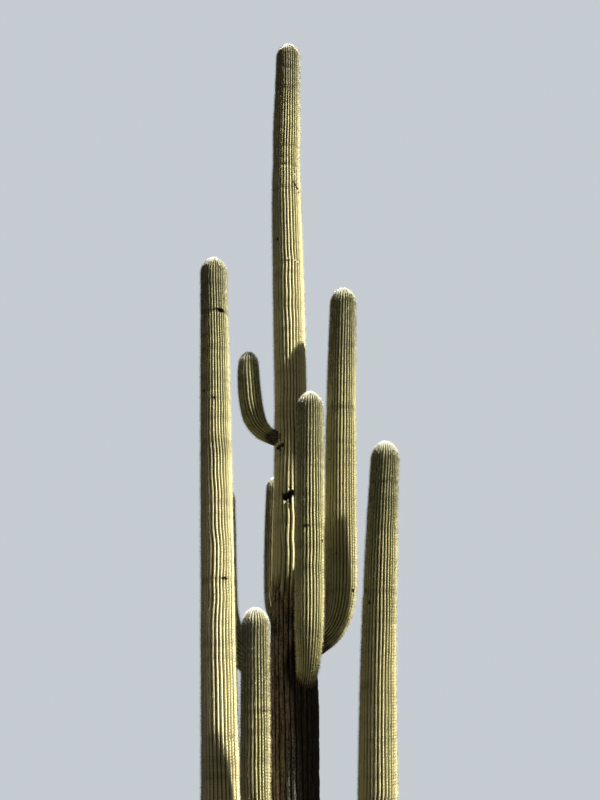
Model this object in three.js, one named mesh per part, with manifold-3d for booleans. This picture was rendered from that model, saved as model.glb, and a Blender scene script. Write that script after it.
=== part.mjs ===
// A saguaro cactus: one ribbed trunk rooted in level ground, and nine arms.
// Each arm leaves the trunk at a narrow neck, turns up at its elbow and rises as a ribbed column
// with a domed tip. Millimetres, +Z up, the origin at ground level under the trunk.
// +X is to the right and -Y to the front, as the plant is seen.

import * as THREE from 'three';
import { mergeVertices } from 'three/addons/utils/BufferGeometryUtils.js';
import Module from 'manifold-3d';

const wasm = await Module();
wasm.setup();

// Driving dimensions of the trunk
const PLANT_HEIGHT = 13015;
const TRUNK_RIBS = 30;
const TRUNK_GIRTHS = [
  { radius: 345, height: 0 },
  { radius: 308, height: 160 },
  { radius: 292, height: 600 },
  { radius: 290, height: 2000 },
  { radius: 299, height: 3500 },
  { radius: 266, height: 4800 },
  { radius: 226, height: 6070 },
  { radius: 205, height: 7400 },
  { radius: 208, height: 9000 },
  { radius: 195, height: 10600 },
  { radius: 182, height: 11010 },
  { radius: 189, height: 11500 },
  { radius: 176, height: 12200 },
];
const TRUNK_CROWN_RADIUS = 170;

// The trunk's axis wanders this far to the left as it rises
const TRUNK_LEAN = [
  new THREE.Vector3(0, 0, 0),
  new THREE.Vector3(-20, 0, 3200),
  new THREE.Vector3(-52, 0, 6300),
  new THREE.Vector3(-104, 0, 9000),
  new THREE.Vector3(-143, 0, 10800),
  new THREE.Vector3(-119, 0, PLANT_HEIGHT),
];

// Driving dimensions of the arms. root is the neck in the trunk: sideways, back and up. base is
// where the elbow ends and the column starts, and reach is the share of the way out that the
// elbow runs level. bow is how far the column's middle lies to the right of a straight line, and
// the radii run neck, foot, girth and crown.
const ARMS = [
  {
    name: 'left_tall', ribs: 30, root: [0, 0, 1740], reach: 0.8, bow: 0,
    neck: 136, foot: 214, girth: 201, crown: 169,
    base: [-826, -400, 2356], tip: [-1092, -400, 9260],
  },
  {
    name: 'upper_left', ribs: 20, root: [0, -100, 6848], reach: 0.64, bow: -22,
    neck: 94, foot: 145, girth: 146, crown: 127,
    base: [-575, 60, 7324], tip: [-623, 60, 8107],
  },
  {
    name: 'right', ribs: 30, root: [0, 0, 4235], reach: 0.92, bow: -18,
    neck: 148, foot: 192, girth: 191, crown: 167,
    base: [551, -76, 5156], tip: [623, -320, 8853],
  },
  {
    name: 'front', ribs: 27, root: [122, 0, 3800], reach: 0.85, bow: 4,
    neck: 120, foot: 167, girth: 174, crown: 157,
    base: [159, -520, 4515], tip: [179, -520, 7300],
  },
  {
    name: 'right_low', ribs: 32, root: [0, 0, 1960], reach: 0.8, bow: -30,
    neck: 140, foot: 221, girth: 205, crown: 167,
    base: [925, -250, 2589], tip: [1097, -645, 6598],
  },
  {
    name: 'front_left_low', ribs: 25, root: [0, 0, 2080], reach: 0.8, bow: 0,
    neck: 115, foot: 162, girth: 162, crown: 152,
    base: [-440, -770, 2595], tip: [-450, -1000, 4480],
  },
  {
    name: 'back_left', ribs: 22, root: [0, 0, 4520], reach: 0.85, bow: -8,
    neck: 90, foot: 110, girth: 112, crown: 100,
    base: [-288, 500, 5060], tip: [-276, 500, 6514],
  },
  {
    name: 'back_left_low', ribs: 26, root: [0, 0, 3925], reach: 0.6, bow: 0,
    neck: 158, foot: 178, girth: 168, crown: 154,
    base: [-912, 400, 4900], tip: [-950, 400, 6380],
  },
  {
    name: 'back_right', ribs: 28, root: [0, 0, 4800], reach: 0.8, bow: 0,
    neck: 112, foot: 161, girth: 171, crown: 159,
    base: [440, 950, 5350], tip: [461, 950, 6439],
  },
];

// Driving dimensions of the skin and the joints between pieces
const RIB_DEPTH = 0.1;
const SPLIT_GAP = 0.3;
const TRUNK_CLEARANCE = 0.4;
const ELBOW_STIFFNESS = 0.55;
const DOME_STRETCH = 1.4;
const DOME_ANGLES = [0, 35, 65];
const ELBOW_STEPS = 5;
const NECK_SHARE = 0.2;
const COLUMN_STATIONS = [0, 0.3, 0.65];
const UPPER_TAPER = 0.4;

const UP = new THREE.Vector3(0, 0, 1);
const TRUNK_COLOUR = '#77754a';
const ARM_COLOUR = '#8d9058';
const SKIN_ROUGHNESS = 0.8;

// How finely a height is looked up on the axis, and how near two points are to count as one
const HALVINGS = 40;
const WELD_DISTANCE = 0.001;

const trunkAxis = new THREE.CatmullRomCurve3(TRUNK_LEAN);

function skinMaterial(colour) {
  return new THREE.MeshStandardMaterial({ color: colour, roughness: SKIN_ROUGHNESS, metalness: 0 });
}

// The point of the trunk's axis at a height
function trunkCentre(height) {
  let low = 0;
  let high = 1;
  for (let step = 0; step < HALVINGS; step += 1) {
    const middle = (low + high) / 2;
    if (trunkAxis.getPoint(middle).z < height) low = middle;
    else high = middle;
  }
  const point = trunkAxis.getPoint(low);
  return new THREE.Vector3(point.x, point.y, height);
}

// A ring of a stem: its centre, the two directions across the stem, and its radius at the crests
function makeRing(centre, tangent, side, radius) {
  const across = side.clone().addScaledVector(tangent, -side.dot(tangent)).normalize();
  const along = tangent.clone().cross(across);
  return { centre, across, along, radius };
}

// The points round a ring, crests and grooves in turn
function ringPoints(ring, ribs) {
  const points = [];
  for (let index = 0; index < 2 * ribs; index += 1) {
    const angle = (Math.PI * index) / ribs;
    const radius = ring.radius * (index % 2 === 0 ? 1 : 1 - RIB_DEPTH);
    points.push(
      ring.centre.clone()
        .addScaledVector(ring.across, radius * Math.cos(angle))
        .addScaledVector(ring.along, radius * Math.sin(angle)),
    );
  }
  return points;
}

// A closed ribbed stem through its rings, ending in the point apex or, with none, in a flat cut
function ribbedStem(rings, ribs, apex) {
  const around = 2 * ribs;
  const positions = [];
  const faces = [];
  rings.forEach((ring) => ringPoints(ring, ribs).forEach((point) => positions.push(...point)));
  const foot = positions.length / 3;
  const lastRing = rings[rings.length - 1];
  positions.push(...rings[0].centre, ...(apex ?? lastRing.centre));
  const lastRow = (rings.length - 1) * around;
  for (let index = 0; index < around; index += 1) {
    const next = (index + 1) % around;
    for (let row = 0; row < lastRow; row += around) {
      faces.push(row + index, row + next, row + around + next);
      faces.push(row + index, row + around + next, row + around + index);
    }
    faces.push(foot, next, index);
    faces.push(foot + 1, lastRow + index, lastRow + next);
  }
  const geometry = new THREE.BufferGeometry();
  geometry.setAttribute('position', new THREE.Float32BufferAttribute(positions, 3));
  geometry.setIndex(faces);
  return geometry;
}

// Rings of a domed tip: the radius falls as a quarter ellipse towards the apex
function domeRings(tip, tangent, side, radius) {
  return DOME_ANGLES.map((degrees) => {
    const angle = THREE.MathUtils.degToRad(degrees);
    const below = radius * DOME_STRETCH * (1 - Math.sin(angle));
    const centre = tip.clone().addScaledVector(tangent, -below);
    return makeRing(centre, tangent, side, radius * Math.cos(angle));
  });
}

// The trunk, from its flared flat cut at the ground to its tip, swollen by clearance
function trunkGeometry(clearance) {
  const side = new THREE.Vector3(1, 0, 0);
  const rings = TRUNK_GIRTHS.map(({ radius, height }) => (
    makeRing(trunkCentre(height), UP, side, radius + clearance)
  ));
  const tip = trunkCentre(PLANT_HEIGHT);
  rings.push(...domeRings(tip, UP, side, TRUNK_CROWN_RADIUS + clearance));
  return ribbedStem(rings, TRUNK_RIBS, tip);
}

// The point of the trunk where an arm's centre line starts
function armRoot(arm) {
  const [sideways, back, height] = arm.root;
  return trunkCentre(height).add(new THREE.Vector3(sideways, back, 0));
}

// The level way from an arm's root to its base
function wayOut(arm) {
  const root = armRoot(arm);
  return new THREE.Vector3(arm.base[0] - root.x, arm.base[1] - root.y, 0);
}

// The direction that stays square to an arm all the way: level, and square to its way out
function armSide(arm) {
  return wayOut(arm).normalize().cross(UP);
}

// The column's centre line: one shallow bow from the elbow to the tip
function columnPath(arm) {
  const base = new THREE.Vector3(...arm.base);
  const tip = new THREE.Vector3(...arm.tip);
  const middle = base.clone().lerp(tip, 0.5).add(new THREE.Vector3(2 * arm.bow, 0, 0));
  return new THREE.QuadraticBezierCurve3(base, middle, tip);
}

// The elbow's centre line: out of the trunk level, then round into the column
function elbowPath(arm) {
  const root = armRoot(arm);
  const base = new THREE.Vector3(...arm.base);
  const rise = ELBOW_STIFFNESS * (base.z - root.z);
  return new THREE.CubicBezierCurve3(
    root,
    root.clone().addScaledVector(wayOut(arm), arm.reach),
    base.clone().addScaledVector(columnPath(arm).getTangent(0), -rise),
    base,
  );
}

function elbowGeometry(arm) {
  const path = elbowPath(arm);
  const rings = [];
  for (let step = 0; step <= ELBOW_STEPS; step += 1) {
    const share = step / ELBOW_STEPS;
    const widening = THREE.MathUtils.smoothstep(share, NECK_SHARE, 1);
    const radius = THREE.MathUtils.lerp(arm.neck, arm.foot, widening);
    rings.push(makeRing(path.getPoint(share), path.getTangent(share), armSide(arm), radius));
  }
  return ribbedStem(rings, arm.ribs);
}

function columnGeometry(arm) {
  const path = columnPath(arm);
  const radii = [arm.foot, arm.girth, THREE.MathUtils.lerp(arm.girth, arm.crown, UPPER_TAPER)];
  const rings = COLUMN_STATIONS.map((share, index) => (
    makeRing(path.getPoint(share), path.getTangent(share), armSide(arm), radii[index])
  ));
  rings[0].centre.addScaledVector(path.getTangent(0), SPLIT_GAP);
  const tip = new THREE.Vector3(...arm.tip);
  rings.push(...domeRings(tip, path.getTangent(1), armSide(arm), arm.crown));
  return ribbedStem(rings, arm.ribs, tip);
}

// A closed mesh as a solid that can be cut
function toSolid(geometry) {
  const merged = mergeVertices(geometry, WELD_DISTANCE);
  return new wasm.Manifold(new wasm.Mesh({
    numProp: 3,
    vertProperties: new Float32Array(merged.attributes.position.array),
    triVerts: new Uint32Array(merged.index.array),
  }));
}

// The largest piece of a solid, without the loose scraps that a cut leaves in the grooves
function largestPiece(solid) {
  const pieces = solid.decompose();
  pieces.sort((one, other) => other.volume() - one.volume());
  return pieces[0];
}

function toGeometry(solid) {
  const mesh = solid.getMesh();
  const geometry = new THREE.BufferGeometry();
  geometry.setAttribute('position', new THREE.Float32BufferAttribute(mesh.vertProperties, 3));
  geometry.setIndex(Array.from(mesh.triVerts));
  return geometry;
}

function namedMesh(name, geometry, material) {
  const mesh = new THREE.Mesh(geometry, material);
  mesh.name = name;
  return mesh;
}

function buildTrunk() {
  return namedMesh('trunk', trunkGeometry(0), skinMaterial(TRUNK_COLOUR));
}

// An arm is two pieces, parted by a thin gap where the elbow has turned upright
function buildArm(arm, trunkSpace) {
  const elbow = largestPiece(toSolid(elbowGeometry(arm)).subtract(trunkSpace));
  const group = new THREE.Group();
  group.add(namedMesh(`${arm.name}_elbow`, toGeometry(elbow), skinMaterial(ARM_COLOUR)));
  group.add(namedMesh(`${arm.name}_column`, columnGeometry(arm), skinMaterial(ARM_COLOUR)));
  return group;
}

function buildCactus() {
  const cactus = new THREE.Group();
  const trunkSpace = toSolid(trunkGeometry(TRUNK_CLEARANCE));
  cactus.add(buildTrunk());
  ARMS.forEach((arm) => cactus.add(buildArm(arm, trunkSpace)));
  return cactus;
}

export default buildCactus();
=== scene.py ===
"""A saguaro cactus in its full dress: ribbed skins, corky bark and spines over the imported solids.

Metres, +Z up, the origin at ground level under the trunk. +X is to the right and -Y to the front,
as the plant is seen. A bearing is measured round +Z from +X, so -90 degrees faces the viewer.
"""

import itertools
import logging
import math
from dataclasses import dataclass, field
from enum import Enum
from typing import Sequence

import bpy
import numpy as np
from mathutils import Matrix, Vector


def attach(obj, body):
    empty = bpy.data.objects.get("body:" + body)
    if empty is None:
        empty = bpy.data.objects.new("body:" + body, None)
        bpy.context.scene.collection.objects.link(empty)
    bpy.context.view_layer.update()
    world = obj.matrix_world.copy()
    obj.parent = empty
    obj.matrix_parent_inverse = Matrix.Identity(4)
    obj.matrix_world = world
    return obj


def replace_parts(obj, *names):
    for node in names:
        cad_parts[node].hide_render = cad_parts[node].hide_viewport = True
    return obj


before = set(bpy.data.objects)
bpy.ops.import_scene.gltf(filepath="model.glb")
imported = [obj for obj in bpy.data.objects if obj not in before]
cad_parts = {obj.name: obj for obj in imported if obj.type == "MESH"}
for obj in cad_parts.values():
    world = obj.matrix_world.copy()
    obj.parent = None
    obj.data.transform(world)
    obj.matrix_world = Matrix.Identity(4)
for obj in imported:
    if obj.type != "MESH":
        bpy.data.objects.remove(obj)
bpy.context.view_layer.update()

Array = np.ndarray
Colour = tuple[float, float, float]
Point = tuple[float, float, float]

LOG = logging.getLogger("cactus")
UP = np.array([0.0, 0.0, 1.0])

# How finely the skins are made
POINTS_PER_RIB = 8
SKIN_STEP = 0.027
BARK_STEP = 0.0135
LINE_STEP = 0.002
TRUNK_POINTS = 3000
CURVE_POINTS = 800
DOME_ROWS = 13
FINE_CUT = 0.65
FINE_REACH = 0.1

# The form that all stems share
DOME_STRETCH = 1.4
ELBOW_STIFFNESS = 0.55
GIRTH_SMOOTHING = 0.1
YOUNG_REACH = 1.0
CROWN_REACH = 0.16
SWELL = 0.010
SWELL_CELLS = np.array([2.2, 2.2, 1.6])

# The ribs
RIB_DEPTH = 0.14
WIDTH_DRIFT = 0.22
WIDTH_RIPPLE = 0.07
WIDEST_RIB = 1.15
RIB_SWAY = 0.06
JOIN_LEAD = 0.05
JOIN_REACH = 0.4
JOIN_WIDTH = 0.12

# The bands where growth paused
FIRST_PAUSE = 0.5
LAST_PAUSE = 0.35
PAUSE_GAPS = (0.22, 0.75)
PAUSE_DEPTHS = (0.004, 0.018)
PAUSE_WIDTHS = (0.015, 0.04)
FULL_PAUSE = 0.03

# What fades along a stem: where it starts to change and where it has changed
DOME_RIBS = (0.05, 0.6)
DOME_BANDS = (0.0, 0.8)
FOLDED_FOOT = (1.4, 0.5)
GREY_TIP = (1.7, 0.1)
BLEACHING = (0.6, 4.6)

# The cork, its plates and its cracks
CORK_FILLING = 0.35
PLATES_PER_AREOLE = 0.36
PLATE_RAGGEDNESS = 0.50
PLATE_CELLS = np.array([9.0, 9.0, 5.0])
PLATE_STEP = 0.005
CRACK_DEPTH = 0.004
CRACK_EDGE = (0.13, 0.04)
DEEP_CRACKS = (0.35, 0.50)
BARK_GRAIN = 0.004
BARK_GRAIN_CELLS = 70.0

# The scars
SCAR_CELLS = 22.0
SCAR_RAGGEDNESS = 0.30
SCAR_FLOOR = (1.0, 0.5)
SCAR_STAIN = (1.45, 0.75)
LEVELLING = 0.6
LIP_HEIGHT = 0.18
LIP_PLACE = 1.2
LIP_WIDTH = 0.22

# The areoles and their spines
STEP_FADE = 0.2
CROWN_FADE = 0.15
AREOLE_JITTER = 0.1
BARE_TIP = 0.2
BARE_FOOT = 0.08
BARE_SCAR = 0.4
CORK_SHEDDING = 1.6
ZONE_JITTER = 0.05
ZONE_FADE = 0.25
SPINE_ROOT = 0.003

# The arms
HIDDEN_NECK = 0.11
COLLAR_HEIGHT = 0.010
COLLAR_REACH = 0.05
NECK_SHARE = 0.2
GIRTH_PLACE = 0.3
TAPER_PLACE = 0.65
TAPER_SHARE = 0.4
NECK_CORK = (0.13, 0.02)
NECK_CORK_CELLS = np.array([18.0, 18.0, 9.0])
NECK_RAGGEDNESS = 0.06


# Plain sums on whole arrays


def smoothstep(low: float, high: float, value: Array) -> Array:
    """Rises from 0 at low to 1 at high as 3t² - 2t³ of the share t, or falls where high is lower."""
    share = np.clip((value - low) / (high - low), 0.0, 1.0)
    return share * share * (3.0 - 2.0 * share)


def unit(vectors: Array) -> Array:
    """Each vector divided by its own length."""
    return vectors / np.maximum(np.linalg.norm(vectors, axis=-1, keepdims=True), 1e-12)


def bell(distance: Array, width: float) -> Array:
    """A bell of height 1: e to the power of minus the square of distance over width."""
    return np.exp(-((distance / width) ** 2))


def way_of(bearing: float) -> Array:
    """The level unit vector that faces a bearing in degrees."""
    return np.array([math.cos(math.radians(bearing)), math.sin(math.radians(bearing)), 0.0])


def points_of(x: Array, y: Array, z: Array) -> Array:
    """Joins three coordinates into points, each spread over the others' rows and columns."""
    return np.stack(np.broadcast_arrays(x, y, z), axis=-1)


def hashed(cells: Array, seed: int) -> Array:
    """Gives each cell of a lattice its own fixed random number.

    Formula: the three whole numbers, each times a large prime, are mixed bit by bit with the seed.

    Args:
        cells: Whole numbers, with three in the last axis.
        seed: Another seed gives other numbers.

    Returns:
        Numbers from 0 to 1, without the last axis.
    """
    mask = 0xFFFFFFFF
    scaled = cells.astype(np.int64) * np.array([73856093, 19349663, 83492791], dtype=np.int64)
    mixed = (scaled[..., 0] ^ scaled[..., 1] ^ scaled[..., 2] ^ (seed * 40503)) & mask
    mixed = ((mixed ^ (mixed >> 15)) * 2246822519) & mask
    mixed = ((mixed ^ (mixed >> 13)) * 3266489917) & mask
    return (mixed ^ (mixed >> 16)) / mask


def lattice_noise(points: Array, seed: int) -> Array:
    """Smooth noise in space.

    Formula: a random number at each corner of a lattice of unit cells, and inside a cell the
    average of its eight corners, weighted by 3t² - 2t³ of the share along each axis.

    Args:
        points: Places, with three coordinates in the last axis.
        seed: Another seed gives another pattern.

    Returns:
        Numbers from -1 to 1, without the last axis.
    """
    cells = np.floor(points).astype(np.int64)
    share = points - cells
    ease = share * share * (3.0 - 2.0 * share)
    total = np.zeros(points.shape[:-1])
    for corner in itertools.product((0, 1), repeat=3):
        offset = np.array(corner)
        weight = np.prod(np.where(offset == 1, ease, 1.0 - ease), axis=-1)
        total += weight * hashed(cells + offset, seed)
    return 2.0 * total - 1.0


def bezier(handles: Array, share: Array) -> Array:
    """Points of a Bezier curve of any degree.

    Formula: the sum of the handles, each times its Bernstein weight, which for handle k of a
    curve of degree n is (n over k) (1 - t)^(n - k) t^k.

    Args:
        handles: The handles, one a row.
        share: The shares of the way, from 0 to 1.

    Returns:
        One point a row for each share.
    """
    degree = len(handles) - 1
    order = np.arange(degree + 1)
    counts = np.array([math.comb(degree, k) for k in order], dtype=float)
    weights = counts * (1.0 - share[:, None]) ** (degree - order) * share[:, None] ** order
    return weights @ handles


def hermite(place: Array, stations: Array, values: Array) -> Array:
    """A smooth curve through given values.

    Formula: a cubic Hermite curve, whose slope at each station is that of its neighbours.

    Args:
        place: Where the curve is wanted.
        stations: The stations, rising.
        values: The value at each station.

    Returns:
        The curve's value at each place.
    """
    slopes = np.gradient(values, stations)
    index = np.clip(np.searchsorted(stations, place) - 1, 0, len(stations) - 2)
    step = stations[index + 1] - stations[index]
    t = (place - stations[index]) / step
    rise = values[index] * (1.0 + 2.0 * t) * (1.0 - t) ** 2 + values[index + 1] * t * t * (3.0 - 2.0 * t)
    lean = step * (slopes[index] * t * (1.0 - t) ** 2 - slopes[index + 1] * t * t * (1.0 - t))
    return rise + lean


def row_places(start: float, end: float, step: float, fine: Sequence[float]) -> Array:
    """Where the rows of a skin lie along its stem, closer together around its scars.

    Formula: the local step is the given step, shrunk by up to 65% in a bell of 0.1 m round each
    fine place, and the rows lie at equal parts of the running sum of 1 / step.

    Args:
        start: The first row's place.
        end: The last row's place.
        step: The widest step between rows.
        fine: The places that need closer rows.

    Returns:
        The places, rising, with start and end among them.
    """
    grid = np.linspace(start, end, max(2, int((end - start) / LINE_STEP)))
    local = np.full_like(grid, step)
    for place in fine:
        local = np.minimum(local, step * (1.0 - FINE_CUT * bell(grid - place, FINE_REACH)))
    steps = np.diff(grid) / local[:-1]
    tally = np.concatenate([[0.0], np.cumsum(steps)])
    return np.interp(np.linspace(0.0, tally[-1], int(np.ceil(tally[-1])) + 1), tally, grid)


# Meshes as arrays


@dataclass
class Shape:
    """A closed mesh as arrays, on its way into Blender.

    The loops are the corners of all faces in a row, and starts says where each face begins.
    """

    points: Array
    loops: Array
    starts: Array
    smooth: Array
    tints: Array
    places: Array | None = None
    marks: dict[str, Array] = field(default_factory=dict)

    def triangles(self) -> int:
        """The number of triangles that the faces come to."""
        return len(self.loops) - 2 * len(self.starts)

    def piece(self, name: str, slot: str, finishes: Sequence[bpy.types.Material]) -> bpy.types.Object:
        """Puts the arrays into a mesh object, which rides on the cactus.

        Args:
            name: The piece's plain name.
            slot: The record's material slot; not used.
            finishes: Its materials, in the order of the faces' tints.

        Returns:
            The new object.
        """
        mesh = bpy.data.meshes.new(name)
        mesh.vertices.add(len(self.points))
        mesh.vertices.foreach_set("co", self.points.astype(np.float32).ravel())
        mesh.loops.add(len(self.loops))
        mesh.loops.foreach_set("vertex_index", self.loops.astype(np.int32))
        mesh.polygons.add(len(self.starts))
        mesh.polygons.foreach_set("loop_start", self.starts.astype(np.int32))
        for finish in finishes:
            mesh.materials.append(finish)
        mesh.polygons.foreach_set("material_index", self.tints.astype(np.int32))
        mesh.polygons.foreach_set("use_smooth", self.smooth.astype(bool))
        mesh.update(calc_edges=True)
        if self.places is not None:
            layer = mesh.uv_layers.new(name="areoles")
            layer.data.foreach_set("uv", self.places.astype(np.float32).ravel())
        for mark, values in self.marks.items():
            layer = mesh.attributes.new(mark, "FLOAT", "POINT")
            layer.data.foreach_set("value", values.astype(np.float32).ravel())
        made = bpy.data.objects.new(name, mesh)
        bpy.context.scene.collection.objects.link(made)
        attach(made, "root")
        LOG.info("%s: %d triangles", name, self.triangles())
        return made


@dataclass
class Surface:
    """The skin of a stem, row by row and column by column, with what is painted on it."""

    rings: Array
    across: Array
    tally: Array
    offsets: Array
    marks: dict[str, Array]

    def cut(self, rows: slice) -> "Surface":
        """The same skin with only some of its rows."""
        marks = {name: values[rows] for name, values in self.marks.items()}
        return Surface(self.rings[rows], self.across, self.tally[rows], self.offsets, marks)

    def shape(self, first: Array, last: Array, pointed: bool) -> Shape:
        """Closes the skin into a mesh: quads between the rows, and a fan at each end.

        Formula: the corner of row i and column j is point i · columns + j, and the two ends'
        centres come last. The map's u runs across each rib, and its v counts areoles along it.

        Args:
            first: The centre of the first row.
            last: The centre of the last row, or the apex of a pointed end.
            pointed: Whether the last fan is a smooth dome, in place of a flat cut.

        Returns:
            The closed mesh.
        """
        rows, columns, _ = self.rings.shape
        index = np.arange(rows * columns).reshape(rows, columns)
        beside = np.roll(index, -1, axis=1)
        quads = np.stack([index[:-1], beside[:-1], beside[1:], index[1:]], axis=-1).reshape(-1, 4)
        low = np.stack([np.full(columns, rows * columns), beside[0], index[0]], axis=-1)
        high = np.stack([np.full(columns, rows * columns + 1), index[-1], beside[-1]], axis=-1)
        loops = np.concatenate([quads.ravel(), low.ravel(), high.ravel()])
        starts = np.concatenate([
            np.arange(len(quads)) * 4,
            len(quads) * 4 + np.arange(2 * columns) * 3,
        ])
        smooth = np.concatenate([np.ones(len(quads)), np.zeros(columns), np.full(columns, pointed)])
        return Shape(
            points=np.concatenate([self.rings.reshape(-1, 3), [first, last]]),
            loops=loops,
            starts=starts,
            smooth=smooth,
            tints=np.zeros(len(starts)),
            places=self.areole_map(),
            marks={name: self.with_ends(values) for name, values in self.marks.items()},
        )

    def with_ends(self, values: Array) -> Array:
        """One value a point, with the two ends' centres taking the mean of their rows."""
        return np.concatenate([values.ravel(), [values[0].mean(), values[-1].mean()]])

    def areole_map(self) -> Array:
        """Works out the map of the faces' corners, in the order of the loops.

        Returns:
            Pairs of u and v: u is 0 and 1 in the grooves beside a rib and 0.5 on its crest, and
            v is a whole number at each areole of that rib.
        """
        rows, columns, _ = self.rings.shape
        left = np.broadcast_to(self.across, (rows, columns))
        right = left + 1.0 / POINTS_PER_RIB
        height = self.tally[:, None] + self.offsets[np.arange(columns) // POINTS_PER_RIB][None, :]
        corners = [
            np.stack([left[:-1], height[:-1]], axis=-1),
            np.stack([right[:-1], height[:-1]], axis=-1),
            np.stack([right[1:], height[1:]], axis=-1),
            np.stack([left[1:], height[1:]], axis=-1),
        ]
        quads = np.stack(corners, axis=2).reshape(-1, 2)
        middle = np.stack([left[0] + 0.5 / POINTS_PER_RIB, height[0]], axis=-1)
        low = np.stack([middle, corners[1][0], corners[0][0]], axis=1).reshape(-1, 2)
        above = np.stack([left[0] + 0.5 / POINTS_PER_RIB, height[-1] + 1.0], axis=-1)
        high = np.stack([above, corners[3][-1], corners[2][-1]], axis=1).reshape(-1, 2)
        return np.concatenate([quads, low, high])


def spike_shape(roots: Array, ways: Array, lengths: Array, widths: Array, tints: Array) -> Shape:
    """Joins many spines into one mesh, each a closed spike of three sides.

    Formula: three corners at a third of a turn each round the root, at the given width, and the
    tip at the root plus the length along its way.

    Args:
        roots: Where the spines start, one a row.
        ways: Which way they point, as unit vectors.
        lengths: Their lengths.
        widths: The radius of each root.
        tints: The number of each spine's material.

    Returns:
        The closed mesh.
    """
    count = len(roots)
    helper = np.where(np.abs(ways[:, 2:3]) < 0.9, UP, np.array([1.0, 0.0, 0.0]))
    first = unit(np.cross(helper, ways))
    second = np.cross(ways, first)
    turn = np.arange(3) * 2.0 * np.pi / 3.0
    spread = np.cos(turn)[None, :, None] * first[:, None] + np.sin(turn)[None, :, None] * second[:, None]
    corners = roots[:, None] + widths[:, None, None] * spread
    tips = roots + lengths[:, None] * ways
    points = np.concatenate([corners, tips[:, None]], axis=1).reshape(-1, 3)
    pattern = np.array([0, 1, 3, 1, 2, 3, 2, 0, 3, 2, 1, 0])
    loops = (np.arange(count)[:, None] * 4 + pattern).ravel()
    return Shape(
        points=points,
        loops=loops,
        starts=np.arange(4 * count) * 3,
        smooth=np.zeros(4 * count),
        tints=np.repeat(tints, 4),
    )


# Finishes


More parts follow.
